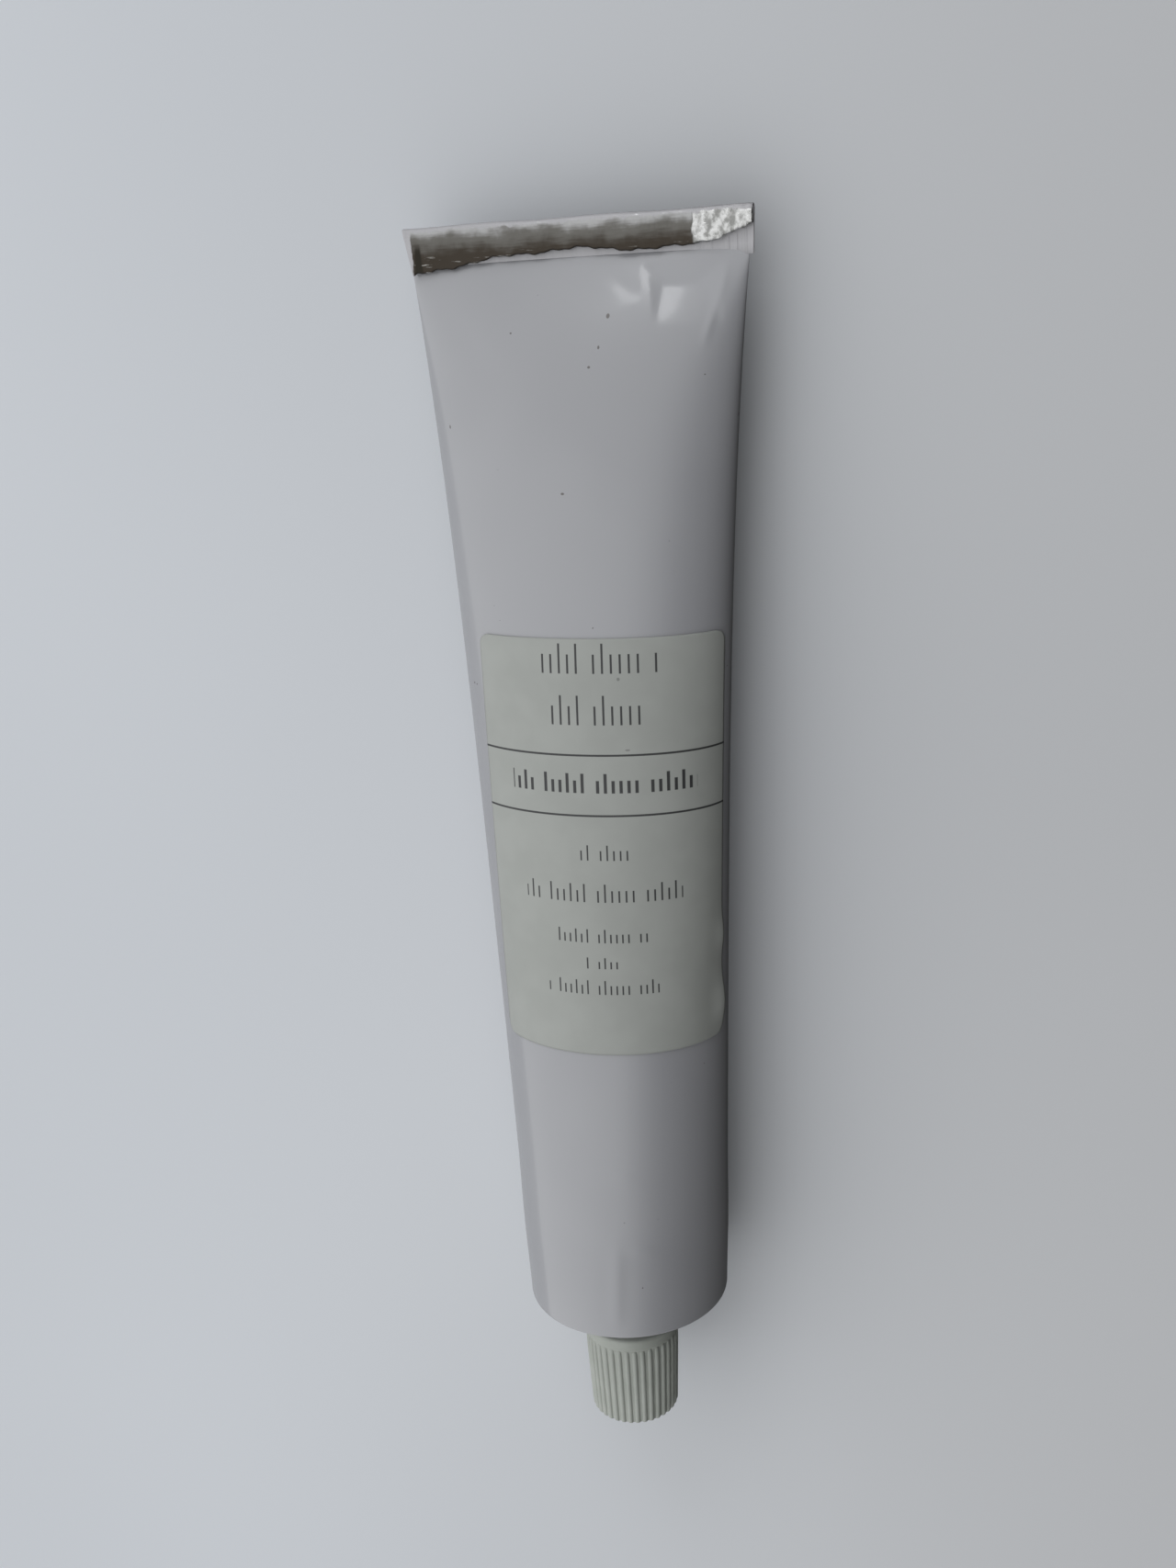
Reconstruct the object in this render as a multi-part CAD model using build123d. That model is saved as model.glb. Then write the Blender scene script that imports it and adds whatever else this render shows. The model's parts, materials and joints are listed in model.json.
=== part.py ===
"""Collapsible aluminium toothpaste tube, closed by a folded end and a ribbed screw cap.

Each piece is modelled standing: its origin is the centre of the cap's closed end, +Z runs
up the tube to the fold, X lies along the flattened end, and the label faces -Y. Last, the
whole is laid on its back, label up, with the fold towards +Y. Lengths are in millimetres.
"""
from build123d import *
import os
from math import atan2, cos, degrees, hypot, pi, radians, sin, sqrt, tan

# --- Screw cap ---------------------------------------------------------------
cap_height = 14.2
cap_wall = 1.6                  # at the closed end, over the ribs
cap_flare = 0.6                 # how much wider the cap is at its mouth
cap_end_thickness = 2.0
cap_end_edge = 0.4              # bevel round the closed end
cap_collar_height = 1.7         # plain band above the ribs
rib_count = 36
rib_groove_radius = 0.36
rib_groove_depth = 0.24

# --- Neck and nozzle of the tube ---------------------------------------------
neck_radius = 4.3               # pitch radius of the neck's thread
neck_bore_radius = 3.0
nozzle_radius = 2.0             # opening in the neck's end
nozzle_lip = 0.8
thread_clearance = 0.3          # between the neck and the cap's bore

# --- Sealing disc in the cap ---------------------------------------------------
liner_thickness = 1.1
liner_side_clearance = 0.1

# --- Shoulder and sleeve -------------------------------------------------------
tube_radius = 14.0
wall = 0.12                     # drawn sleeve
shoulder_wall = 0.5
shoulder_gap = 0.4              # between the cap's collar and the shoulder
shoulder_angle = 29.0           # slope of the shoulder cone, degrees
sleeve_length = 140.2           # from the shoulder's rim to the foot of the fold
straight_share = 0.66           # how much of the flattening grows in proportion to height
late_power = 5                  # the rest grows with this power of height
closing_slope = 0.5             # steepest slope of the walls as they close
section_shares = (0.0, 0.16, 0.32, 0.48, 0.62, 0.74, 0.84, 0.91, 0.96, 1.0)

# --- Fold that closes the tube ---------------------------------------------------
fold_height = 4.6
fold_layer_gap = 0.1
fold_end_taper = 0.9            # how much each end draws in over the fold's height
fold_end_tuck = 0.6             # how far the hidden last flap stops short of the fold's top
fold_throat = 0.06              # how far each wall is from the middle at the fold's foot

# --- Paste ---------------------------------------------------------------------
paste_level = 62.5              # height of the paste above the shoulder's rim
paste_clearance = 0.05

# --- Sticker label ---------------------------------------------------------------
label_width = 33.5              # measured round the sleeve
label_height = 54.2
label_foot = 41.5               # above the shoulder's rim
label_offset = 3.15             # of its centre round the sleeve, towards +X
label_thickness = 0.1
label_glue = 0.02
label_corner = 1.5

# --- Rest ------------------------------------------------------------------------
rest_reach = 75.0               # how far up the sleeve's soft back gives where it lies
rest_rim_gap = 0.03             # between the stiff rim and the surface under it

# --- Sizes that follow -----------------------------------------------------------
neck_tip_z = cap_end_thickness + liner_thickness
neck_foot_z = cap_height + shoulder_gap
cap_bore_radius = neck_radius + thread_clearance
cap_end_radius = cap_bore_radius + cap_wall
cap_mouth_radius = cap_end_radius + cap_flare
liner_radius = cap_bore_radius - liner_side_clearance
rim_z = neck_foot_z + (tube_radius - neck_radius) * tan(radians(shoulder_angle))
fold_foot_z = rim_z + sleeve_length
fold_top_z = fold_foot_z + fold_height
flat_half_width = pi * tube_radius / 2
sheet_pair = 2 * wall           # two walls pressed together
fold_pitch = sheet_pair + fold_layer_gap


def ellipse_girth(a, b):
    """Ramanujan's length of an ellipse's edge, from its half axes."""
    h = ((a - b) / (a + b)) ** 2
    return pi * (a + b) * (1 + 3 * h / (10 + sqrt(4 - 3 * h)))


def half_width(z):
    """Half width of the sleeve along X: round at the rim, flat at the fold's top."""
    share = (z - rim_z) / (fold_top_z - rim_z)
    growth = straight_share * share + (1 - straight_share) * share**late_power
    return tube_radius + (flat_half_width - tube_radius) * growth


def half_depth(z):
    """Half depth along Y that keeps the sleeve's girth, closing at the fold's foot."""
    a = half_width(z)
    low, high = 0.0, tube_radius
    while high - low > 1e-6:
        middle = (low + high) / 2
        if ellipse_girth(a, middle) < 2 * pi * tube_radius:
            low = middle
        else:
            high = middle
    return min(high, wall + fold_throat + closing_slope * (fold_foot_z - z))


def resting_pitch():
    """Slope, in degrees, of the shallow flat that the sleeve's back lies on."""
    fall = tube_radius + rest_rim_gap - half_depth(rim_z + rest_reach)
    return degrees(atan2(fall, rest_reach))


def beyond_the_flat(inset):
    """Everything past the flat on the sleeve's back, drawn in by the inset."""
    side = 4 * sleeve_length
    block = Box(side, side, side, align=(Align.CENTER, Align.MIN, Align.CENTER))
    at_rim = Pos(0, tube_radius + rest_rim_gap, rim_z) * Rot(X=resting_pitch())
    return at_rim * Pos(0, -inset, 0) * block


def cross_section(z, inset):
    """The sleeve's outline at a height, in two halves that meet at its front and back."""
    a, b = half_width(z) - inset, half_depth(z) - inset
    halves = [
        EllipticalCenterArc((0, 0), a, b, start_angle=start, arc_size=180)
        for start in (-90, 90)
    ]
    return Plane.XY.offset(z) * make_face(halves)


def sleeve_solid(inset):
    """The sleeve's filled form from its rim to the fold, drawn in by the inset."""
    top_z = fold_foot_z - 2 * max(inset, 0)
    heights = [rim_z + share * (top_z - rim_z) for share in section_shares]
    return loft([cross_section(z, inset) for z in heights]) - beyond_the_flat(inset)


def spun(points):
    """A solid of revolution about Z from (radius, height) points."""
    return revolve(Plane.XZ * make_face(Polyline(*points, close=True)), Axis.Z)


def shoulder_height(radius):
    """Height of the shoulder's cone at a radius."""
    return neck_foot_z + (radius - neck_radius) * tan(radians(shoulder_angle))


def cavity(inset):
    """The space in the nozzle, neck, shoulder and sleeve, drawn in by the inset."""
    rise = shoulder_wall / cos(radians(shoulder_angle)) + inset
    bore = neck_bore_radius - inset
    beyond = 2 * tube_radius
    over_the_shoulder = spun([
        (0, neck_tip_z + inset),
        (nozzle_radius - inset, neck_tip_z + inset),
        (nozzle_radius - inset, neck_tip_z + nozzle_lip + inset),
        (bore, neck_tip_z + nozzle_lip + inset),
        (bore, shoulder_height(bore) + rise),
        (beyond, shoulder_height(beyond) + rise),
        (beyond, fold_top_z),
        (0, fold_top_z),
    ])
    barrel = Cylinder(
        tube_radius - wall - inset, rim_z - neck_tip_z,
        align=(Align.CENTER, Align.CENTER, Align.MIN),
    )
    return (sleeve_solid(wall + inset) + Pos(0, 0, neck_tip_z) * barrel) & over_the_shoulder


def make_fold():
    """The flattened end turned over twice towards -Y, with its last flap hidden inside."""
    over_radius = fold_pitch
    under_radius = fold_pitch / 2
    top_bend_z = fold_top_z - over_radius - wall
    low_bend_z = fold_foot_z + under_radius + wall

    def sheet(y, low, high):
        return Pos(0, y, (low + high) / 2) * Box(2 * flat_half_width, sheet_pair, high - low)

    def bend(y, z, radius, upward):
        ring = Circle(radius + wall) - Circle(radius - wall)
        side = radius + 2 * wall
        half = Pos(0, side / 2 if upward else -side / 2) * Rectangle(2 * side, side)
        section = Plane.YZ * (Pos(y, z) * (ring & half))
        return extrude(section, flat_half_width, both=True)

    fold = sheet(0, fold_foot_z - wall, top_bend_z)
    fold += bend(-over_radius, top_bend_z, over_radius, upward=True)
    fold += sheet(-2 * fold_pitch, low_bend_z, top_bend_z)
    fold += bend(-1.5 * fold_pitch, low_bend_z, under_radius, upward=False)
    fold += sheet(-fold_pitch, low_bend_z, top_bend_z - fold_end_tuck)

    foot = flat_half_width - fold_end_taper
    outline = Polyline(
        (-foot, fold_foot_z - wall), (foot, fold_foot_z - wall),
        (flat_half_width, fold_top_z), (-flat_half_width, fold_top_z), close=True,
    )
    return fold & extrude(Plane.XZ * make_face(outline), tube_radius, both=True)


def make_tube_body():
    """Drawn sleeve, shoulder, neck and fold, all of one slug of aluminium."""
    shoulder = spun([
        (0, neck_tip_z), (neck_radius, neck_tip_z), (neck_radius, neck_foot_z),
        (tube_radius, rim_z), (0, rim_z),
    ])
    return (sleeve_solid(0) + shoulder - cavity(0)) + make_fold()


def make_paste():
    """Paste from the nozzle up to its level in the sleeve."""
    side = 4 * tube_radius
    filled = Box(side, side, paste_level + rim_z, align=(Align.CENTER, Align.CENTER, Align.MIN))
    return cavity(paste_clearance) & filled


def make_cap():
    """Tapered cap with rounded ribs, a plain collar at its mouth and a blind bore."""
    slope = (cap_mouth_radius - cap_end_radius) / cap_height
    body = spun([
        (0, 0), (cap_end_radius - cap_end_edge, 0), (cap_end_radius, cap_end_edge),
        (cap_mouth_radius, cap_height), (cap_bore_radius, cap_height),
        (cap_bore_radius, cap_end_thickness), (0, cap_end_thickness),
    ])
    ribs_top = cap_height - cap_collar_height
    groove_length = ribs_top / cos(atan2(slope, 1))
    centre = cap_end_radius - rib_groove_depth + rib_groove_radius
    groove = Cylinder(rib_groove_radius, groove_length, align=(Align.CENTER, Align.CENTER, Align.MIN))
    groove += Pos(0, 0, groove_length) * Sphere(rib_groove_radius)
    leaning = Pos(centre, 0, 0) * Rot(Y=degrees(atan2(slope, 1))) * groove
    return body - PolarLocations(0, rib_count) * leaning


def make_liner():
    """Sealing disc pressed against the neck's end."""
    disc = Cylinder(liner_radius, liner_thickness, align=(Align.CENTER, Align.CENTER, Align.MIN))
    return Pos(0, 0, cap_end_thickness) * disc


def front_point(z, along):
    """X of the sleeve's front at a distance along its girth from the middle."""
    a, b = half_width(z), half_depth(z)
    steps = 400
    angle, walked, x, y = 0.0, 0.0, 0.0, -b
    step = (pi / 2) / steps
    while walked < abs(along):
        angle += step
        next_x, next_y = a * sin(angle), -b * cos(angle)
        walked += hypot(next_x - x, next_y - y)
        x, y = next_x, next_y
    return x if along >= 0 else -x


def make_label():
    """Paper sticker bent round the sleeve's front, off its middle."""
    foot_z = rim_z + label_foot
    top_z = foot_z + label_height
    left, right = label_offset - label_width / 2, label_offset + label_width / 2
    corners = [
        (front_point(foot_z, left), foot_z), (front_point(foot_z, right), foot_z),
        (front_point(top_z, right), top_z), (front_point(top_z, left), top_z),
    ]
    outline = make_face(Polyline(*corners, close=True))
    outline = fillet(outline.vertices(), label_corner)
    front = extrude(Plane.XZ * outline, 2 * tube_radius)
    outer = sleeve_solid(-label_glue - label_thickness)
    return front & (outer - sleeve_solid(-label_glue))


def lay_down(pieces):
    """The pieces turned on to the sleeve's flat, over the middle of their own box."""
    pitch = resting_pitch()
    turn = Rot(X=-90 - pitch)
    on_the_flat = turn * Pos(0, tube_radius + rest_rim_gap, rim_z)
    middle = Compound(children=[turn * piece for piece in pieces.values()]).bounding_box().center()
    place = Pos(-middle.X, -middle.Y, -on_the_flat.position.Z) * turn
    print("pitch", round(pitch, 4), "cap end at", [round(v, 4) for v in place.position])
    return {name: place * piece for name, piece in pieces.items()}


def main():
    os.makedirs("parts", exist_ok=True)
    pieces = {
        "tube_body": make_tube_body(),
        "cap": make_cap(),
        "cap_liner": make_liner(),
        "toothpaste": make_paste(),
        "label": make_label(),
    }
    for name, piece in lay_down(pieces).items():
        print(name, len(piece.solids()), round(piece.volume, 2))
        export_step(piece, f"parts/{name}.step")


main()
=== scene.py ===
import json
from math import cos, hypot, pi, radians, sin, tau

import bpy
import numpy as np
from mathutils import Matrix, Vector


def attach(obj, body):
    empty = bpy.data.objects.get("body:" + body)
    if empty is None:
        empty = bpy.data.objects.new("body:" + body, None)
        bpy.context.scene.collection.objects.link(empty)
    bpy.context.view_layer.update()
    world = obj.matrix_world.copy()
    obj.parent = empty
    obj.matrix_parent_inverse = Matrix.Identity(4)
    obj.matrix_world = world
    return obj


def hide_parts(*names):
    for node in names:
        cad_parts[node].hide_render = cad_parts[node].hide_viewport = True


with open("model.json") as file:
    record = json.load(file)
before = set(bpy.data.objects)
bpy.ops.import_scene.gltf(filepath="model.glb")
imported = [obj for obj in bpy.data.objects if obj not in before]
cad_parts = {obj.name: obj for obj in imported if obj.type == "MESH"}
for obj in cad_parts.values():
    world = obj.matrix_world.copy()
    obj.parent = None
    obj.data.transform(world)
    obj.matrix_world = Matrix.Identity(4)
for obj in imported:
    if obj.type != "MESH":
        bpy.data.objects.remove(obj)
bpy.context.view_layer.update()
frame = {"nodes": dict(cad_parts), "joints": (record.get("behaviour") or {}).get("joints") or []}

# ----------------------------------------------------------------------------
# The tube's own frame: Z runs from the cap's end up the tube, -Y is the label's
# side. Its sizes are in millimetres here, and `laid` puts points in the row frame.
# ----------------------------------------------------------------------------
MM = 0.001
turn = next(j for j in frame["joints"] if j["name"] == "cap_turn")
UP_TUBE = -Vector(turn["axis"]).normalized()
ACROSS = Vector((1.0, 0.0, 0.0))
TO_BACK = UP_TUBE.cross(ACROSS)
CAP_END = Vector(turn["pos_m"])
TO_ROW = Matrix((ACROSS, TO_BACK, UP_TUBE)).transposed()

TUBE_RADIUS = 14.0
NECK_TIP, NECK_FOOT = 3.1, 14.6
RIM = 19.977
SLEEVE_LENGTH = 140.2
FOLD_FOOT = RIM + SLEEVE_LENGTH
FOLD_TOP = FOLD_FOOT + 4.6
FLAT_HALF_WIDTH = pi * TUBE_RADIUS / 2
STRAIGHT_SHARE, LATE_POWER = 0.66, 5
SHEET = 0.24                    # two walls pressed together
THREAD_PITCH = 1.5
NECK_ROOT = 4.1                 # the neck's radius between its threads
SHOULDER_START = 4.3            # the shoulder's slope starts at this radius
NECK_THREAD_DEPTH, CAP_THREAD_DEPTH = 0.40, 0.38
RIM_ROUNDING = 0.3
CAP_EDGE = 0.35                 # rounding of the cap's closed end
RIB_HEIGHT, RIB_HALF_WIDTH = 0.38, 0.40
CAP_HEIGHT, CAP_END_RADIUS, CAP_FLARE = 14.2, 6.2, 0.6
CAP_BORE = 4.6
CAP_FLOOR = 2.0
COLLAR = 1.7
RIBS = 36
LABEL_WIDTH, LABEL_HEIGHT = 33.5, 54.2
LABEL_FOOT = RIM + 41.5
LABEL_MIDDLE = 3.15
LABEL_CORNER = 1.5
LABEL_LIFT = 0.06
PASTE_TOP = 84.0                # the paste inside ends below this height
SHOULDER_SWELL = 0.14           # the filled tube is a little fuller above its shoulder
DENT_LIMIT = 0.07               # dents beside the paste stay shallower than the wall


def laid(points):
    """Row-frame metres of points given in the tube's frame in millimetres."""
    turned = np.asarray(points, float) @ np.array(TO_ROW.transposed())
    return turned * MM + np.array(CAP_END)


def laid_direction(direction):
    return TO_ROW @ Vector(direction)


# ----------------------------------------------------------------------------
# Form of the sleeve
# ----------------------------------------------------------------------------
def ellipse_girth(a, b):
    h = ((a - b) / (a + b)) ** 2
    return pi * (a + b) * (1 + 3 * h / (10 + np.sqrt(4 - 3 * h)))


def half_width(z):
    share = np.clip((z - RIM) / (FOLD_TOP - RIM), 0, 1)
    growth = STRAIGHT_SHARE * share + (1 - STRAIGHT_SHARE) * share**LATE_POWER
    return TUBE_RADIUS + (FLAT_HALF_WIDTH - TUBE_RADIUS) * growth


def half_depth(z):
    """Half depth that keeps the girth, closing smoothly at the fold's foot."""
    a = half_width(z)
    low, high = np.zeros_like(a), np.full_like(a, TUBE_RADIUS)
    for _ in range(40):
        middle = (low + high) / 2
        short = ellipse_girth(a, middle) < tau * TUBE_RADIUS
        low, high = np.where(short, middle, low), np.where(short, high, middle)
    closing = SHEET / 2 + 0.5 * np.maximum(FOLD_FOOT - z, 0)
    sharpness = 6
    return (high**-sharpness + closing**-sharpness) ** (-1 / sharpness)


def bump(distance, width):
    return np.exp(-((distance / width) ** 2))


def crease(x, z, start, end, width, depth):
    """A soft valley along a line from start to end, both (x, z)."""
    (x0, z0), (x1, z1) = start, end
    length = hypot(x1 - x0, z1 - z0)
    along = ((x - x0) * (x1 - x0) + (z - z0) * (z1 - z0)) / length
    off = ((x - x0) * (z1 - z0) - (z - z0) * (x1 - x0)) / length
    ends = np.clip(along / width, -60, 60), np.clip((along - length) / width, -60, 60)
    inside = 1 / (1 + np.exp(-ends[0])) / (1 + np.exp(ends[1]))
    return -depth * bump(off, width) * inside


def waves(x, z, seed):
    """Slow irregular swelling of hand-filled thin metal."""
    random = np.random.default_rng(seed)
    total = np.zeros_like(x)
    for _ in range(9):
        kx, kz = random.uniform(-0.16, 0.16), random.uniform(-0.11, 0.11)
        total += np.sin(kx * x + kz * z + random.uniform(0, tau)) / 9
    return total


def softly_least(values, softness):
    """Least of several surfaces, with their meeting edges slightly rounded."""
    return -softness * np.log(sum(np.exp(-v / softness) for v in values))


def pressed_facet(x, z):
    """Hollow of flat facets beside the fold's corner, as a thumb leaves it."""
    floor = 0.15 * (z - 151.6)
    sides = (floor, 0.30 * (159.0 - z), 0.34 * (x - 9.6 - 0.25 * (155.0 - z)), 0.26 * (18.4 - x))
    depth = softly_least(sides, 0.06)
    return -0.03 * np.log1p(np.exp(np.clip(depth / 0.03, -40, 40)))


def held_out(out, z):
    """Dents limited to the wall's thickness wherever paste fills the tube."""
    free = np.clip((z - PASTE_TOP) / 8, 0, 1)
    return -softly_least((-out, DENT_LIMIT + 3.0 * free), 0.02)


def dents(x, z, front):
    """How far the lacquered metal stands out (+) or in (-), in millimetres."""
    seed = 3 if front else 8
    rise = np.clip((z - RIM) / 12, 0, 1) * np.clip((FOLD_FOOT - z) / 10, 0, 1)
    out = 0.20 * waves(x, z, seed) * rise
    if front:
        out += pressed_facet(x, z)
        out += crease(x, z, (18.8, 158.0), (16.4, 150.0), 0.5, -0.14)
        out += crease(x, z, (5.4, 157.2), (7.4, 156.0), 0.9, 0.12)
        out += crease(x, z, (-12, 156), (4, 158), 1.8, 0.12)
        out += crease(x, z, (2.4, 21.5), (2.9, 33.0), 1.0, -0.13)
        out += crease(x, z, (4.8, 33.4), (7.6, 33.0), 0.7, -0.10)
        out += crease(x, z, (3.6, 44.2), (4.9, 43.7), 0.7, -0.08)
        out += crease(x, z, (-16, 152), (-9, 147), 2.2, 0.15)
        out += crease(x, z, (-12, 128), (-4, 121), 5.0, 0.15)
    else:
        out += crease(x, z, (-18, 156), (-10, 148), 1.4, 0.30)
        out += crease(x, z, (16, 155), (10, 144), 1.8, 0.25)
        out += crease(x, z, (-3, 110), (5, 106), 2.4, 0.18)
    return held_out(out, z) * np.clip((z - RIM) / 3, 0, 1)


def sleeve_points(angle, z, offset=0.0):
    """Points of the sleeve's outside at angles round the tube (from +X) and heights."""
    a, b = half_width(z), half_depth(z)
    x, y = a * np.cos(angle), b * np.sin(angle)
    nx, ny = np.cos(angle) / a, np.sin(angle) / b
    size = np.hypot(nx, ny)
    fronted = 1 / (1 + np.exp(y / 1.5))
    fade = np.clip(1.25 * np.abs(np.sin(angle)), 0, 1)
    dented = fronted * dents(x, z, True) + (1 - fronted) * dents(x, z, False)
    out = offset + fade * dented + SHOULDER_SWELL * bump(z - 31.0, 7.0)
    return np.stack([x + nx / size * out, y + ny / size * out, z + 0 * x], -1)


# ----------------------------------------------------------------------------
# Mesh helpers
# ----------------------------------------------------------------------------
def grid_faces(rows, columns, wrap):
    across = columns if wrap else columns - 1
    r, c = np.meshgrid(np.arange(rows - 1), np.arange(across), indexing="ij")
    nxt = (c + 1) % columns
    quads = np.stack([r * columns + c, r * columns + nxt,
                      (r + 1) * columns + nxt, (r + 1) * columns + c], -1)
    return quads.reshape(-1, 4)


def make_piece(name, points, faces, material, uv=None, smooth=True):
    """A mesh from tube-frame points; uv holds one millimetre pair for each point."""
    mesh = bpy.data.meshes.new(name)
    placed = laid(points)
    placed[:, 2] = np.maximum(placed[:, 2], 0)      # soft metal gives where it lies
    mesh.from_pydata([tuple(p) for p in placed], [], [tuple(map(int, f)) for f in faces])
    if uv is not None:
        layer = mesh.uv_layers.new(name="surface")
        corner = np.zeros(len(mesh.loops), dtype=np.int64)
        mesh.loops.foreach_get("vertex_index", corner)
        layer.data.foreach_set("uv", (np.asarray(uv, np.float32)[corner] * 0.01).ravel())
    mesh.materials.append(material)
    mesh.validate()
    mesh.shade_smooth() if smooth else mesh.shade_flat()
    piece = bpy.data.objects.new(name, mesh)
    bpy.context.scene.collection.objects.link(piece)
    return piece


def point_outwards(piece):
    import bmesh
    work = bmesh.new()
    work.from_mesh(piece.data)
    bmesh.ops.remove_doubles(work, verts=work.verts, dist=1e-7)
    bmesh.ops.recalc_face_normals(work, faces=work.faces)
    work.to_mesh(piece.data)
    work.free()


def spun_grid(profile, angles, shape=None):
    """Rings of points: profile is (radius, height); shape may reshape a ring's radii."""
    rows = []
    for radius, height in profile:
        radii = radius if shape is None else shape(radius, height, angles)
        rows.append(np.stack([radii * np.cos(angles), radii * np.sin(angles),
                              np.full_like(angles, height)], -1))
    return np.concatenate(rows)


# ----------------------------------------------------------------------------
# Shader maths
# ----------------------------------------------------------------------------
class Shade:
    """A material's socket with the operators its patterns use."""

    def __init__(self, tree, socket):
        self.tree, self.socket = tree, socket

    def node(self, kind, settings=None, **inputs):
        """A new node. Inputs go by name, or as i0, i1 and so on by place."""
        made = self.tree.nodes.new(kind)
        for key, value in (settings or {}).items():
            setattr(made, key, value)
        for key, value in inputs.items():
            index = int(key[1:]) if key[0] == "i" and key[1:].isdigit() else key.replace("_", " ")
            socket = made.inputs[index]
            if isinstance(value, Shade):
                self.tree.links.new(value.socket, socket)
            else:
                socket.default_value = value
        return made

    def wrap(self, made, output=0):
        return Shade(self.tree, made.outputs[output])

    def math(self, operation, other=0.0, swap=False):
        first, second = (other, self) if swap else (self, other)
        return self.wrap(self.node("ShaderNodeMath", {"operation": operation}, i0=first, i1=second))

    def __add__(self, other): return self.math("ADD", other)
    def __sub__(self, other): return self.math("SUBTRACT", other)
    def __rsub__(self, other): return self.math("SUBTRACT", other, swap=True)
    def __mul__(self, other): return self.math("MULTIPLY", other)
    def __truediv__(self, other): return self.math("DIVIDE", other)

    def abs(self): return self.math("ABSOLUTE")
    def most(self, other): return self.math("MAXIMUM", other)

    def step(self, low, high):
        """0 below low, 1 above high, smooth between."""
        made = self.node("ShaderNodeMapRange", {"interpolation_type": "SMOOTHSTEP"},
                         i0=self, i1=low, i2=high, i3=0.0, i4=1.0)
        return self.wrap(made)

    def mixed(self, first, second):
        """Colour first where this is 0 and second where it is 1."""
        made = self.node("ShaderNodeMix", {"data_type": "RGBA"}, i0=self)
        for index, colour in ((6, first), (7, second)):
            if isinstance(colour, Shade):
                self.tree.links.new(colour.socket, made.inputs[index])
            else:
                made.inputs[index].default_value = (*colour, 1)
        return Shade(self.tree, made.outputs[2])


class Finish:
    """A new material with its Principled shader and its coordinates."""

    def __init__(self, name, **constants):
        self.material = bpy.data.materials.new(name)
        self.material.use_nodes = True
        self.tree = self.material.node_tree
        self.shader = self.tree.nodes["Principled BSDF"]
        for key, value in constants.items():
            self.shader.inputs[key.replace("_", " ")].default_value = value
        self.maker = Shade(self.tree, None)

    def coordinates(self, scale=1.0):
        """Object coordinates in millimetres."""
        source = self.maker.wrap(self.maker.node("ShaderNodeTexCoord"), "Object")
        mapping = self.maker.node("ShaderNodeMapping", i0=source)
        mapping.inputs["Scale"].default_value = [scale / MM] * 3
        return self.maker.wrap(mapping)

    def surface(self):
        """The piece's own map as (across, along), in millimetres."""
        source = self.maker.wrap(self.maker.node("ShaderNodeUVMap", {"uv_map": "surface"}))
        parts = self.maker.node("ShaderNodeSeparateXYZ", i0=source)
        return self.maker.wrap(parts, 0) * 100.0, self.maker.wrap(parts, 1) * 100.0

    def noise(self, where, scale, detail=3.0, roughness=0.5):
        made = self.maker.node("ShaderNodeTexNoise", Vector=where, Scale=scale, Detail=detail,
                               Roughness=roughness)
        return self.maker.wrap(made, "Fac")

    def vector(self, x, y, z=0.0):
        return self.maker.wrap(self.maker.node("ShaderNodeCombineXYZ", i0=x, i1=y, i2=z))

    def join(self, name, value):
        self.tree.links.new(value.socket, self.shader.inputs[name])

    def relief(self, height, distance, strength=1.0):
        """Bump from a height between 0 and 1 that stands for a distance in millimetres."""
        made = self.maker.node("ShaderNodeBump", Height=height, Strength=strength,
                               Distance=distance * MM)
        self.join("Normal", self.maker.wrap(made))


# Dark nicks in the lacquer: distance round the front, height, half width, half height.
NICKS = (
    (3.3, 153.2, 0.16, 0.30), (2.7, 149.7, 0.10, 0.22), (1.95, 147.5, 0.13, 0.16),
    (-13.8, 141.0, 0.15, 0.24), (-0.4, 133.0, 0.17, 0.15), (21.6, 141.2, 0.30, 0.25),
    (-5.2, 151.8, 0.10, 0.12), (6.1, 27.5, 0.10, 0.12),
)


def spots(across, along, places):
    """1 inside small ovals and 0 outside."""
    found = None
    for u, v, half_width, half_height in places:
        near = ((across - u) / half_width).math("POWER", 2.0)
        near = near + ((along - v) / half_height).math("POWER", 2.0)
        spot = 1.0 - near.step(0.5, 1.3)
        found = spot if found is None else found.most(spot)
    return found


def lacquered_metal():
    finish = Finish("white_lacquer", IOR=1.5, Coat_Roughness=0.11, Specular_IOR_Level=0.5)
    where = finish.coordinates()
    across, along = finish.surface()
    drift = finish.noise(where, 0.035, 2)
    mottle = finish.noise(where, 0.6, 4)
    base = drift.step(0.35, 0.65).mixed((0.305, 0.308, 0.325), (0.325, 0.328, 0.345))
    worn = (mottle.step(0.68, 0.82) * 0.12).mixed(base, (0.25, 0.25, 0.27))
    grime = finish.noise(where, 0.30, 1.0)
    specks = finish.noise(where, 1.7, 0.0).step(0.865, 0.88) * grime.step(0.56, 0.62)
    marks = specks.most(spots(across, along, NICKS) * 0.9)
    spotted = marks.mixed(worn, (0.08, 0.07, 0.065))
    edge = finish.noise(finish.vector(across, along), 0.5, 4) * 1.6 + along
    bare = edge.step(FOLD_TOP + 0.1, FOLD_TOP + 0.5)
    finish.join("Base Color", bare.mixed(spotted, (0.45, 0.44, 0.42)))
    finish.join("Metallic", bare)
    finish.join("Coat Weight", 0.7 - bare * 0.7)
    finish.join("Roughness", mottle * 0.10 + 0.26)
    orange_peel = finish.noise(where, 0.9, 2)
    finish.relief(orange_peel, 0.015, 0.5)
    return finish.material


PAINTED_HIGHLIGHT_START = 14.6               # the fold's crumpled end, with its painted highlight, starts here along X


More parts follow.
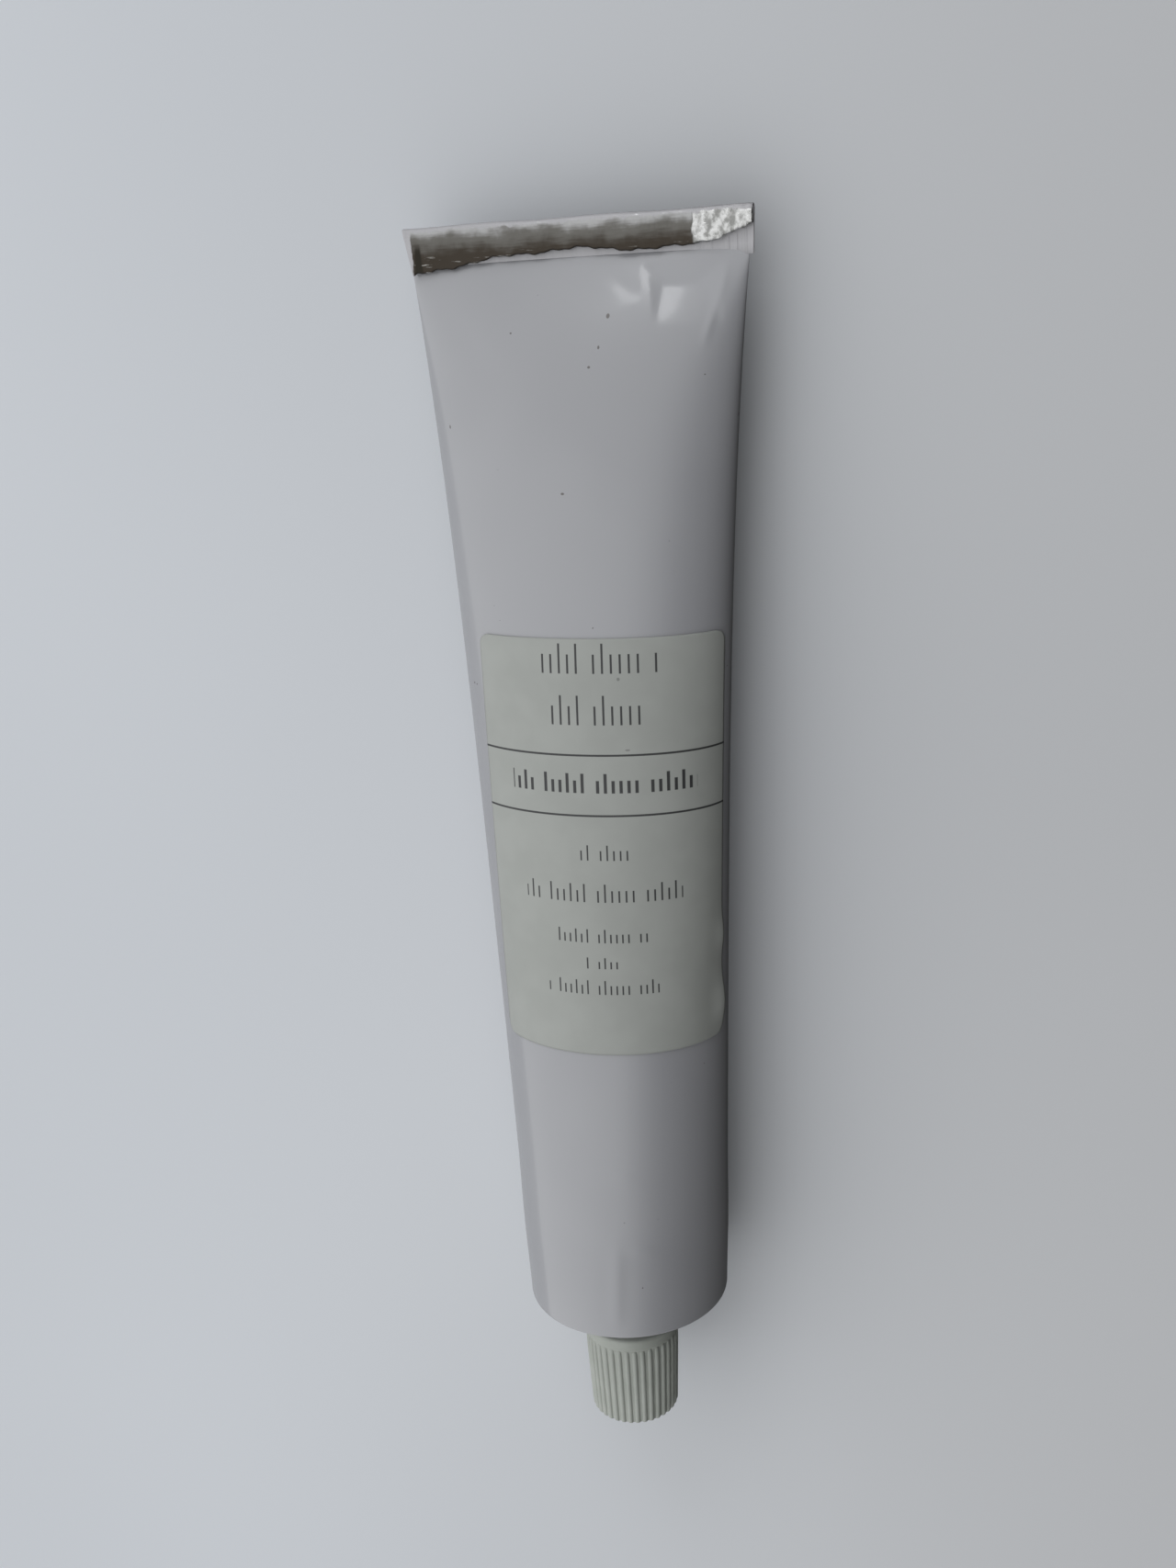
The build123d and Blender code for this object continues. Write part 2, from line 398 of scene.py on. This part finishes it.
def bare_metal():
    """The fold's bare metal, with painted light: painted shade takes it from pale at its top to dark brown
    at its foot, painted glints lie by the foot, its crumpled end carries a painted highlight, and a painted
    shade line runs down the crease at its left corner.
    """
    finish = Finish("bare_folded_aluminium", IOR=1.5)
    across, down = finish.surface()
    flat = finish.vector(across, down)
    streak = finish.noise(finish.vector(across * 0.22, down * 2.2), 1.3, 5, 0.6)
    blotch = finish.noise(flat, 0.30, 3)
    crumple = finish.noise(finish.vector(across, down * 0.8), 1.1, 3)
    # painted shade: the base colour darkens from pale at the fold's top to dark brown at its foot
    depth = down + (blotch - 0.5) * 3.0 + (streak - 0.5) * 1.4
    upper = depth.step(0.4, 1.8).mixed((0.36, 0.36, 0.36), (0.13, 0.125, 0.115))
    lower = depth.step(1.8, 3.6).mixed(upper, (0.050, 0.042, 0.034))
    # painted highlight: bright glint streaks in the base colour near the fold's foot
    painted_glint = streak.step(0.60, 0.68) * down.step(3.2, 4.2)
    glinted_tone = (painted_glint * 0.8).mixed(lower, (0.60, 0.59, 0.56))
    jag = (blotch - 0.5) * 1.2
    # painted highlight: the crumpled end is painted bright silver where it catches the light
    bright = (across + jag).step(PAINTED_HIGHLIGHT_START, PAINTED_HIGHLIGHT_START + 0.25) * (1.0 - down.step(3.7, 4.3))
    painted_highlight_silver = crumple.step(0.35, 0.62).mixed((0.26, 0.26, 0.25), (0.62, 0.62, 0.61))
    tone = bright.mixed(glinted_tone, painted_highlight_silver)
    # painted shade: a near-black line down the crease at the fold's left corner
    off = (across + 20.0).abs() - down * 0.06
    tone = ((1.0 - off.step(0.05, 0.40)) * down.step(1.6, 3.0)).mixed(tone, (0.03, 0.027, 0.022))
    ragged = finish.noise(flat, 0.8, 4) * 1.5
    lacquer = (ragged - down).step(0.0, 0.35).most((ragged * 0.4 - across).step(21.0, 21.2))
    finish.join("Base Color", lacquer.mixed(tone, (0.42, 0.415, 0.43)))
    finish.join("Metallic", 1.0 - lacquer)
    finish.join("Roughness", streak * 0.22 + 0.24 - bright * 0.10)
    finish.relief((streak * 0.3 + crumple * 0.7) * (bright * 0.6 + 0.4), 0.45, 0.9)
    return finish.material


def cap_plastic():
    finish = Finish("moulded_cap", IOR=1.49, Subsurface_Weight=0.0)
    where = finish.coordinates()
    cloud = finish.noise(where, 0.25, 3)
    dust = finish.noise(where, 2.4, 2)
    base = cloud.step(0.35, 0.7).mixed((0.35, 0.37, 0.335), (0.39, 0.41, 0.375))
    finish.join("Base Color", (dust.step(0.62, 0.8) * 0.25).mixed(base, (0.30, 0.31, 0.28)))
    finish.join("Roughness", dust * 0.2 + 0.36)
    finish.relief(dust, 0.03, 0.4)
    return finish.material


def foam():
    finish = Finish("foam_disc", Roughness=0.8)
    where = finish.coordinates()
    cells = finish.noise(where, 3.0, 2)
    finish.join("Base Color", cells.mixed((0.70, 0.70, 0.68), (0.82, 0.82, 0.80)))
    finish.relief(cells, 0.06, 0.5)
    return finish.material


def paste():
    finish = Finish("mint_paste", Coat_Roughness=0.2)
    where = finish.coordinates()
    swirl = finish.noise(where, 0.3, 3)
    finish.join("Base Color", swirl.mixed((0.76, 0.80, 0.78), (0.84, 0.87, 0.85)))
    finish.join("Roughness", swirl * 0.2 + 0.25)
    return finish.material


# Marks on the label, above its foot and across from its middle.
RULES = (39.7, 32.0)
RULE_HALF_THICKNESS = 0.13
STROKE_ROWS = (
    # foot, full height, middle, half width, stroke spacing, stroke half width
    (49.9, 3.7, 0.20, 7.7, 1.10, 0.13),
    (43.5, 3.7, 0.20, 6.7, 1.10, 0.13),
    (34.9, 2.5, 0.20, 12.2, 0.98, 0.20),
    (26.2, 2.0, 0.20, 3.5, 0.84, 0.10),
    (20.7, 2.4, -0.30, 10.4, 0.90, 0.11),
    (15.3, 1.8, -0.45, 6.0, 0.76, 0.10),
    (11.8, 1.5, -0.55, 2.2, 0.76, 0.10),
    (8.3, 1.9, -0.65, 7.3, 0.76, 0.10),
)
LABEL_NICKS = ((2.7, 49.2, 0.20, 0.22), (3.6, 40.35, 0.32, 0.12))


def stroke_row(across, along, foot, height, middle, half_run, spacing, half_stroke):
    """A row of upright strokes on one foot line: two lengths, with a gap every so often."""
    cell = ((across - middle) / spacing + 60.0)
    number = cell.math("FLOOR")
    tall = (number * 0.381).math("FRACT").step(0.64, 0.66)
    kept = 1.0 - (number * 0.137).math("FRACT").step(0.85, 0.87)
    rise = (along - foot) / (tall * (0.36 * height) + 0.64 * height)
    level = rise.step(-0.02, 0.02) * (1.0 - rise.step(0.98, 1.02))
    inside = 1.0 - (across - middle).abs().step(half_run - 0.03, half_run + 0.03)
    off = (cell.math("FRACT") - 0.5).abs() * spacing
    bar = 1.0 - off.step(half_stroke * 0.8, half_stroke * 1.25)
    return level * inside * bar * kept


def label_paper():
    """Matt sticker: two rules and rows of plain strokes stand where print would be."""
    finish = Finish("label_paper", IOR=1.45)
    across, along = finish.surface()
    where = finish.coordinates()
    fibre = finish.noise(where, 5.0, 3)
    cloud = finish.noise(where, 0.2, 2)
    paper = cloud.step(0.3, 0.7).mixed((0.325, 0.337, 0.318), (0.345, 0.357, 0.338))
    ink = None
    for height in RULES:
        off = (along - height).abs()
        rule = 1.0 - off.step(RULE_HALF_THICKNESS * 0.8, RULE_HALF_THICKNESS * 1.2)
        ink = rule if ink is None else ink.most(rule)
    for row in STROKE_ROWS:
        ink = ink.most(stroke_row(across, along, *row))
    nicked = (spots(across, along, LABEL_NICKS) * 0.6).mixed(paper, (0.12, 0.12, 0.12))
    finish.join("Base Color", (ink * 0.95).mixed(nicked, (0.02, 0.02, 0.022)))
    finish.join("Roughness", 0.58 - ink * 0.12 + fibre * 0.08)
    finish.relief(fibre, 0.015, 0.5)
    return finish.material


# ----------------------------------------------------------------------------
# Pieces
# ----------------------------------------------------------------------------
def neck_profile():
    """(radius, height) from the paste in the nozzle, over the lip and up to the shoulder."""
    points = [(0.0, 5.2), (2.9, 5.2), (3.0, 4.2), (3.0, 3.95), (2.0, 3.85), (2.0, 3.25), (2.15, 3.1)]
    points += [(3.75, 3.1), (4.0, 3.2), (NECK_ROOT, 3.5)]
    start, end, steps = 3.7, 13.8, 90
    points += [(NECK_ROOT, start + (end - start) * i / steps) for i in range(steps + 1)]
    points += [(4.15, 14.2), (SHOULDER_START, 14.45), (4.7, 14.72)]
    slope = (RIM - NECK_FOOT) / (TUBE_RADIUS - SHOULDER_START)
    inner = TUBE_RADIUS - RIM_ROUNDING
    for i in range(1, 13):
        radius = 4.7 + (inner - 4.7) * i / 12
        points.append((radius, NECK_FOOT + (radius - SHOULDER_START) * slope))
    for i in range(1, 7):
        swing = pi / 2 * i / 6
        height = RIM - RIM_ROUNDING * slope + RIM_ROUNDING * (1 - cos(swing))
        points.append((inner + RIM_ROUNDING * sin(swing), height))
    return points


def thread_fade(height, start, end):
    """1 along a thread and 0 past its ends."""
    return np.clip((height - start) / 0.8, 0, 1) * np.clip((end - height) / 0.8, 0, 1)


def thread_crest(phase):
    """Rounded thread form: 1 on the crest and 0 in the root."""
    return (0.5 + 0.5 * np.cos(tau * phase)) ** 1.5


def thread_radius(radius, height, angles):
    """Adds the neck's rounded right-hand thread to a ring."""
    if abs(radius - NECK_ROOT) > 1e-6:
        return radius + 0 * angles
    fade = thread_fade(height, 3.9, 12.6)
    return radius + NECK_THREAD_DEPTH * fade * thread_crest(height / THREAD_PITCH - angles / tau)


def make_tube():
    """One closed skin: the nozzle, neck and shoulder, then the sleeve up to the fold."""
    columns = 256
    angles = np.linspace(-1.5 * pi, 0.5 * pi, columns, endpoint=False)
    neck = spun_grid(neck_profile(), angles, thread_radius)
    rows = 300
    shares = np.linspace(0, 1, rows)
    heights = RIM + 0.25 + (FOLD_FOOT - RIM - 0.25) * (1 - (1 - shares) ** 1.25)
    sleeve = np.concatenate([sleeve_points(angles, np.full(columns, h)) for h in heights])
    points = np.concatenate([neck, sleeve])
    total_rows = len(points) // columns
    faces = [tuple(f) for f in grid_faces(total_rows, columns, True)]
    points = np.concatenate([points, [[0, 0, FOLD_FOOT + 0.02]]])
    last, top = (total_rows - 1) * columns, len(points) - 1
    faces += [(last + c, last + (c + 1) % columns, top) for c in range(columns)]
    from_front = (angles + pi / 2) * TUBE_RADIUS
    girth = np.concatenate([np.tile(from_front, total_rows), [0]])
    uv = np.stack([girth, points[:, 2]], -1)
    tube = make_piece("tube_skin", points, faces, lacquered_metal(), uv)
    point_outwards(tube)
    return tube


def fold_line(x):
    """Height of the fold's lower edge across the tube: hand-pressed, so it wanders."""
    lean = np.clip(-(x + 8) / 14, 0, 1) ** 1.5
    lift = np.clip((x - 4) / 17, 0, 1) - 0.5 * bump(x - 13, 4)
    wander = 0.16 * np.sin(x * 0.55 + 0.6) + 0.10 * np.sin(x * 1.7) + 0.05 * np.sin(x * 4.1)
    corner = 1.6 * np.clip((x - 15.5) / 6.2, 0, 1) ** 1.3
    return FOLD_FOOT + 0.35 - 1.5 * lean + 0.5 * lift + 0.6 * bump(x + 1.5, 6.5) + corner + wander


def fold_section(x, spread):
    """Middle line of the turned-over sheet at one place across it, as (y, z) points."""
    foot = fold_line(x)
    pitch = 0.42 * spread
    top = FOLD_TOP - 0.15 + 0.06 * np.sin(0.4 * x)
    line = [(0.0, z) for z in (FOLD_FOOT - 0.9, FOLD_FOOT + 0.6, (FOLD_FOOT + top) / 2, top - pitch)]
    line += [(-pitch + pitch * cos(t), top - pitch + pitch * sin(t)) for t in np.linspace(0.3, pi - 0.3, 7)]
    bulge = 0.10 * np.sin(0.31 * x + 1.0) + 0.06 * np.sin(0.9 * x)
    down = np.linspace(top - pitch, foot + 0.3, 9)
    line += [(-2 * pitch - bulge * np.sin(pi * i / 8), z) for i, z in enumerate(down)]
    line += [(-1.5 * pitch + 0.5 * pitch * cos(t), foot + 0.3 + 0.5 * pitch * sin(t))
             for t in np.linspace(pi + 0.4, tau - 0.4, 5)]
    line += [(-pitch, z) for z in np.linspace(foot + 0.5, top - 1.1, 5)]
    return np.array(line)


def offset_loop(line, half):
    """Closed outline at a half thickness on both sides of a line."""
    ahead = np.gradient(line, axis=0)
    ahead /= np.linalg.norm(ahead, axis=1)[:, None]
    side = np.stack([-ahead[:, 1], ahead[:, 0]], -1) * half
    return np.concatenate([line + side, (line - side)[::-1]])


def make_fold():
    """The flat end turned over twice, as one strip with the sheet's thickness."""
    columns = 260
    xs = np.linspace(-1, 1, columns)
    rings, uv = [], []
    for share in xs:
        x_top = share * FLAT_HALF_WIDTH
        spread = 1.0 + 0.18 * sin(5 * share) ** 2
        line = fold_section(x_top, spread)
        loop = offset_loop(line, SHEET / 2)
        height = (loop[:, 1] - FOLD_FOOT) / (FOLD_TOP - FOLD_FOOT)
        draw_in = (1 - np.clip(height, -0.3, 1)) * (0.9 if share < 0 else 0.15)
        x = x_top - np.sign(share) * abs(share) ** 8 * draw_in
        rings.append(np.stack([x, loop[:, 0], loop[:, 1]], -1))
        outside = loop[:, 0] > -0.25                # the sleeve's own lacquered face
        uv.append(np.stack([x, np.where(outside, -1.0, FOLD_TOP - loop[:, 1])], -1))
    per = len(rings[0])
    points, uv = np.concatenate(rings), np.concatenate(uv)
    faces = [tuple(f) for f in grid_faces(columns, per, True)]
    faces += strip_end(0, per) + strip_end((columns - 1) * per, per)
    fold = make_piece("tube_fold", points, faces, bare_metal(), uv)
    point_outwards(fold)
    return fold


def strip_end(first, per):
    """Quads across the sheet's thickness at one end of the fold."""
    return [(first + i, first + i + 1, first + per - 2 - i, first + per - 1 - i)
            for i in range(per // 2 - 1)]


def cap_radius(height):
    """The cap's outside radius over its ribs."""
    return CAP_END_RADIUS + CAP_FLARE * height / CAP_HEIGHT


def make_cap():
    """Turned form of the cap: closed end, valley surface, plain collar and threaded bore."""
    columns = 288
    angles = np.linspace(0, tau, columns, endpoint=False)
    valley = 0.26
    flat = CAP_END_RADIUS - valley - CAP_EDGE
    profile = [(0.0, 0.0), (4.4, 0.0), (4.6, 0.0), (flat, 0.0)]
    for i in range(1, 6):
        swing = pi / 2 * i / 5
        profile.append((flat + CAP_EDGE * sin(swing), CAP_EDGE - CAP_EDGE * cos(swing)))
    collar_foot = CAP_HEIGHT - COLLAR
    profile += [(cap_radius(z) - valley, z) for z in np.linspace(0.6, collar_foot - 0.25, 24)]
    profile += [(cap_radius(collar_foot) - valley * s, collar_foot - 0.25 + 0.3 * (1 - s))
                for s in (0.75, 0.35, 0.0)]
    profile += [(cap_radius(z), z) for z in np.linspace(collar_foot + 0.15, CAP_HEIGHT - 0.3, 5)]
    mouth = cap_radius(CAP_HEIGHT)
    profile += [(mouth - 0.1, CAP_HEIGHT - 0.08), (mouth - 0.3, CAP_HEIGHT)]
    profile += [(CAP_BORE + 0.5, CAP_HEIGHT), (CAP_BORE + 0.15, CAP_HEIGHT - 0.25)]
    profile += [(CAP_BORE, z) for z in np.linspace(CAP_HEIGHT - 0.6, CAP_FLOOR, 84)]
    profile += [(0.0, CAP_FLOOR)]

    def ring(radius, height, angles):
        if abs(radius - CAP_BORE) > 1e-6:
            return np.full_like(angles, radius)
        phase = height / THREAD_PITCH - angles / tau + 0.5
        return radius - CAP_THREAD_DEPTH * thread_fade(height, 7.6, 13.2) * thread_crest(phase)

    points = spun_grid(profile, angles, ring)
    faces = grid_faces(len(profile), columns, True)
    cap = make_piece("cap_shell", points, faces, cap_plastic())
    point_outwards(cap)
    return cap


def rib_tree(rib, material):
    """Geometry Nodes: copies of one rib set round a circle."""
    tree = bpy.data.node_groups.new("ribs_round_cap", "GeometryNodeTree")
    face = tree.interface
    face.new_socket("Geometry", in_out="INPUT", socket_type="NodeSocketGeometry")
    count = face.new_socket("Rib count", in_out="INPUT", socket_type="NodeSocketInt")
    radius = face.new_socket("Circle radius", in_out="INPUT", socket_type="NodeSocketFloat")
    face.new_socket("Geometry", in_out="OUTPUT", socket_type="NodeSocketGeometry")
    nodes, links = tree.nodes, tree.links
    start, end = nodes.new("NodeGroupInput"), nodes.new("NodeGroupOutput")
    circle = nodes.new("GeometryNodeMeshCircle")
    source = nodes.new("GeometryNodeObjectInfo")
    source.inputs["Object"].default_value = rib
    index = nodes.new("GeometryNodeInputIndex")
    share = nodes.new("ShaderNodeMath")
    share.operation = "DIVIDE"
    around = nodes.new("ShaderNodeMath")
    around.operation = "MULTIPLY"
    around.inputs[1].default_value = tau
    turned = nodes.new("ShaderNodeCombineXYZ")
    place = nodes.new("GeometryNodeInstanceOnPoints")
    real = nodes.new("GeometryNodeRealizeInstances")
    dress = nodes.new("GeometryNodeSetMaterial")
    dress.inputs["Material"].default_value = material
    for a, b in (
        (start.outputs["Rib count"], circle.inputs["Vertices"]),
        (start.outputs["Circle radius"], circle.inputs["Radius"]),
        (index.outputs[0], share.inputs[0]),
        (start.outputs["Rib count"], share.inputs[1]),
        (share.outputs[0], around.inputs[0]),
        (around.outputs[0], turned.inputs["Z"]),
        (circle.outputs["Mesh"], place.inputs["Points"]),
        (source.outputs["Geometry"], place.inputs["Instance"]),
        (turned.outputs[0], place.inputs["Rotation"]),
        (place.outputs["Instances"], real.inputs["Geometry"]),
        (real.outputs["Geometry"], dress.inputs["Geometry"]),
        (dress.outputs["Geometry"], end.inputs["Geometry"]),
    ):
        links.new(a, b)
    return tree, count.identifier, radius.identifier


def rib_mesh():
    """One half-round rib that leans with the cap's taper, in millimetres, from x = 0."""
    steps = 10
    heights = [0.03, 0.12, 0.25, 0.45, 2.0, 4.0, 6.0, 8.0, 10.0, 11.4, 12.0, 12.3, 12.45]
    swell = [0.35, 0.65, 0.88, 1, 1, 1, 1, 1, 1, 0.9, 0.65, 0.35, 0.1]
    points = []
    for height, size in zip(heights, swell):
        base = CAP_FLARE * height / CAP_HEIGHT - RIB_HEIGHT
        for i in range(steps):
            swing = -pi / 2 + pi * i / (steps - 1)
            out = base + RIB_HEIGHT * size * cos(swing) + 0.02
            points.append((out, RIB_HALF_WIDTH * sin(swing) * (0.6 + 0.4 * size), height))
    rows = len(heights)
    faces = [tuple(f) for f in grid_faces(rows, steps, True)]
    faces += [tuple(range(steps)), tuple((rows - 1) * steps + i for i in range(steps))]
    mesh = bpy.data.meshes.new("rib")
    mesh.from_pydata(points, [], [tuple(map(int, f)) for f in faces])
    rib = bpy.data.objects.new("rib", mesh)
    bpy.context.scene.collection.objects.link(rib)
    point_outwards(rib)
    return rib


def make_ribs(material):
    """The cap's ribs, placed by Geometry Nodes and kept as a plain mesh."""
    rib = rib_mesh()
    tree, count, radius = rib_tree(rib, material)
    holder = bpy.data.objects.new("rib_holder", bpy.data.meshes.new("rib_holder"))
    bpy.context.scene.collection.objects.link(holder)
    modifier = holder.modifiers.new("ribs", "NODES")
    modifier.node_group = tree
    modifier[count] = RIBS
    modifier[radius] = CAP_END_RADIUS
    bpy.context.view_layer.update()
    evaluated = holder.evaluated_get(bpy.context.evaluated_depsgraph_get())
    mesh = bpy.data.meshes.new_from_object(evaluated)
    for leftover in (holder, rib):
        bpy.data.objects.remove(leftover)
    mesh.transform(Matrix.Translation(CAP_END) @ (TO_ROW * MM).to_4x4())
    mesh.name = "cap_ribs"
    mesh.shade_smooth()
    ribs = bpy.data.objects.new("cap_ribs", mesh)
    bpy.context.scene.collection.objects.link(ribs)
    return ribs


def angles_along_front(z, distances):
    """Angles round the sleeve, from +X, of girth distances from the front's middle."""
    a, b = float(half_width(np.array([z]))[0]), float(half_depth(np.array([z]))[0])
    swing = np.linspace(-pi / 2, pi / 2, 721)
    x, y = a * np.sin(swing), -b * np.cos(swing)
    walked = np.concatenate([[0], np.cumsum(np.hypot(np.diff(x), np.diff(y)))])
    walked -= np.interp(0, swing, walked)
    return np.interp(distances, walked, swing) - pi / 2


def corner_inset(along):
    """How far the label's rounded corners draw its sides in at a height above its foot."""
    near = np.minimum(along, LABEL_HEIGHT - along)
    missing = np.clip(LABEL_CORNER - near, 0, LABEL_CORNER)
    return LABEL_CORNER - np.sqrt(np.maximum(LABEL_CORNER**2 - missing**2, 0))


def make_label():
    """The sticker: it follows the sleeve and lifts a little along its right edge."""
    rows, columns = 130, 110
    ends = np.linspace(0, 1, rows)
    heights = LABEL_HEIGHT * (0.5 - 0.5 * np.cos(pi * ends)) * 0.35 + LABEL_HEIGHT * ends * 0.65
    front, back, uv = [], [], []
    for along in heights:
        reach = LABEL_WIDTH / 2 - float(corner_inset(np.array([along]))[0])
        offsets = np.linspace(-reach, reach, columns)
        z = LABEL_FOOT + along
        angles = angles_along_front(z, offsets + LABEL_MIDDLE)
        lift = 0.55 * bump(offsets - LABEL_WIDTH / 2, 1.6) * bump(along - 4.5, 3.2)
        lift += 0.30 * bump(offsets - LABEL_WIDTH / 2, 1.2) * bump(along - 14.0, 2.2)
        row_z = np.full(columns, z)
        back.append(sleeve_points(angles, row_z, LABEL_LIFT + lift))
        front.append(sleeve_points(angles, row_z, LABEL_LIFT + 0.1 + lift))
        uv.append(np.stack([offsets, np.full(columns, along)], -1))
    count = rows * columns
    faces = [tuple(f) for f in grid_faces(rows, columns, False)]
    faces += [tuple(f[::-1] + count) for f in grid_faces(rows, columns, False)]
    edge = [c for c in range(columns)] + [r * columns + columns - 1 for r in range(1, rows)]
    edge += [(rows - 1) * columns + c for c in range(columns - 2, -1, -1)]
    edge += [r * columns for r in range(rows - 2, 0, -1)]
    faces += [(a, b, b + count, a + count) for a, b in zip(edge, edge[1:] + edge[:1])]
    points = np.concatenate(front + back)
    maps = np.concatenate(uv + uv)
    label = make_piece("label_sticker", points, faces, label_paper(), maps)
    point_outwards(label)
    return label


# ----------------------------------------------------------------------------
# Floor, lights and camera
# ----------------------------------------------------------------------------
def make_floor():
    """A pale floor with painted shade: as seen it is lighter and cooler on the left and greyer on the
    right, and in the light it throws back it is nearly black on the right.
    """
    finish = Finish("pale_floor", Roughness=0.9, Specular_IOR_Level=0.1)
    where = finish.coordinates()
    side = finish.maker.wrap(finish.maker.node("ShaderNodeSeparateXYZ", i0=where), 0)
    cloud = finish.noise(where, 0.004, 2).step(0.3, 0.7)
    left = cloud.mixed((0.61, 0.635, 0.67), (0.65, 0.675, 0.71))
    right = cloud.mixed((0.46, 0.465, 0.475), (0.49, 0.495, 0.505))
    # painted shade: the floor's seen colour is lighter and cooler on the left, greyer on the right
    seen_with_painted_shade = side.step(-110.0, 130.0).mixed(left, right)
    # painted shade: for light bounced onto the tube the floor is dark on the right
    bounce_painted_shade = side.step(-30.0, 20.0).mixed((0.45, 0.46, 0.48), (0.07, 0.07, 0.07))
    ray = finish.maker.wrap(finish.maker.node("ShaderNodeLightPath"), "Is Camera Ray")
    finish.join("Base Color", ray.mixed(bounce_painted_shade, seen_with_painted_shade))
    reach = 3.0
    corners = [(-reach, -reach, 0), (reach, -reach, 0), (reach, reach, 0), (-reach, reach, 0)]
    mesh = bpy.data.meshes.new("floor")
    mesh.from_pydata(corners, [], [(0, 1, 2, 3)])
    mesh.materials.append(finish.material)
    floor = bpy.data.objects.new("floor", mesh)
    bpy.context.scene.collection.objects.link(floor)


def add_lamp(name, place, aim, size, power, colour):
    data = bpy.data.lights.new(name, "AREA")
    data.shape, data.size, data.size_y = "RECTANGLE", size[0], size[1]
    data.energy, data.color = power, colour
    lamp = bpy.data.objects.new(name, data)
    lamp.location = place
    lamp.rotation_euler = (Vector(aim) - Vector(place)).to_track_quat("-Z", "Y").to_euler()
    bpy.context.scene.collection.objects.link(lamp)


def light_scene():
    """A soft room: bright on the left, dark on the right, and one small window."""
    world = bpy.data.worlds.new("soft_room")
    world.use_nodes = True
    tree = world.node_tree
    maker = Shade(tree, None)
    direction = maker.wrap(maker.node("ShaderNodeTexCoord"), "Generated")
    parts = maker.node("ShaderNodeSeparateXYZ", i0=direction)
    side, height = maker.wrap(parts, 0), maker.wrap(parts, 2)
    shade = side.step(0.02, 0.70)
    colour = shade.mixed((0.98, 0.99, 1.0), (0.03, 0.029, 0.028))
    room = tree.nodes["Background"]
    tree.links.new(colour.socket, room.inputs["Color"])
    level = height.step(-0.2, 0.9) * 0.15 + 1.0
    tree.links.new(level.socket, room.inputs["Strength"])
    seen = maker.node("ShaderNodeBackground", Color=(0.46, 0.49, 0.52, 1), Strength=1.0)
    ray = maker.wrap(maker.node("ShaderNodeLightPath"), "Is Camera Ray")
    both = tree.nodes.new("ShaderNodeMixShader")
    tree.links.new(ray.socket, both.inputs[0])
    tree.links.new(room.outputs[0], both.inputs[1])
    tree.links.new(seen.outputs[0], both.inputs[2])
    tree.links.new(both.outputs[0], tree.nodes["World Output"].inputs["Surface"])
    bpy.context.scene.world = world
    near_fold = Vector(laid([(13.5, -2.0, 154.5)])[0])
    window = Vector((-0.07, 0.87, 0.49)).normalized()
    add_lamp("window", near_fold + window * 1.2, near_fold, (0.42, 0.42), 2.0, (0.97, 0.98, 1.0))
    bpy.context.scene.view_settings.view_transform = "Standard"


CAMERA_AZIMUTH, CAMERA_ELEVATION, CAMERA_ROLL = 18.86, 16.91, -3.03
CAMERA_YAW, CAMERA_PITCH = -0.57, 0.50
CAMERA_DISTANCE = 213.06
LENS, SENSOR = 49.62, 36.0


def turned_pair(first, second, angle):
    """Two directions at right angles, turned in their own plane."""
    c, s = cos(radians(angle)), sin(radians(angle))
    return first * c + second * s, second * c - first * s


def add_camera():
    a, e = radians(CAMERA_AZIMUTH), radians(CAMERA_ELEVATION)
    back = Vector((sin(a) * cos(e), -cos(a) * cos(e), sin(e)))
    right = (-back).cross(Vector((0, 0, 1))).normalized()
    up = right.cross(-back)
    target = Vector((0, 0, (RIM + FOLD_TOP) / 2))
    right, up = turned_pair(right, up, CAMERA_ROLL)
    ahead, right = turned_pair(-back, right, CAMERA_YAW)
    ahead, up = turned_pair(ahead, up, CAMERA_PITCH)
    data = bpy.data.cameras.new("view")
    data.sensor_fit, data.sensor_width, data.lens = "HORIZONTAL", SENSOR, LENS
    data.clip_start = 0.005
    camera = bpy.data.objects.new("view", data)
    place = Vector(laid([target + back * CAMERA_DISTANCE])[0])
    axes = [laid_direction(v) for v in (right, up, -ahead)]
    camera.matrix_world = Matrix.Translation(place) @ Matrix(axes).transposed().to_4x4()
    bpy.context.scene.collection.objects.link(camera)
    bpy.context.scene.camera = camera


# ----------------------------------------------------------------------------
add_camera()
light_scene()
make_floor()

for piece, slot in ((make_tube(), "lacquered_aluminium"), (make_fold(), "lacquered_aluminium"),
                    (make_label(), "label_paper")):
    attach(piece, "tube")
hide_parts("tube_body")
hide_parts("label")

cap_shell = make_cap()
cap_ribs = make_ribs(cap_shell.data.materials[0])
for piece in (cap_shell, cap_ribs):
    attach(piece, "cap")
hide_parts("cap")

for node, material in (("cap_liner", foam()), ("toothpaste", paste())):
    mesh = frame["nodes"][node].data
    mesh.materials.clear()
    mesh.materials.append(material)

bpy.context.view_layer.update()
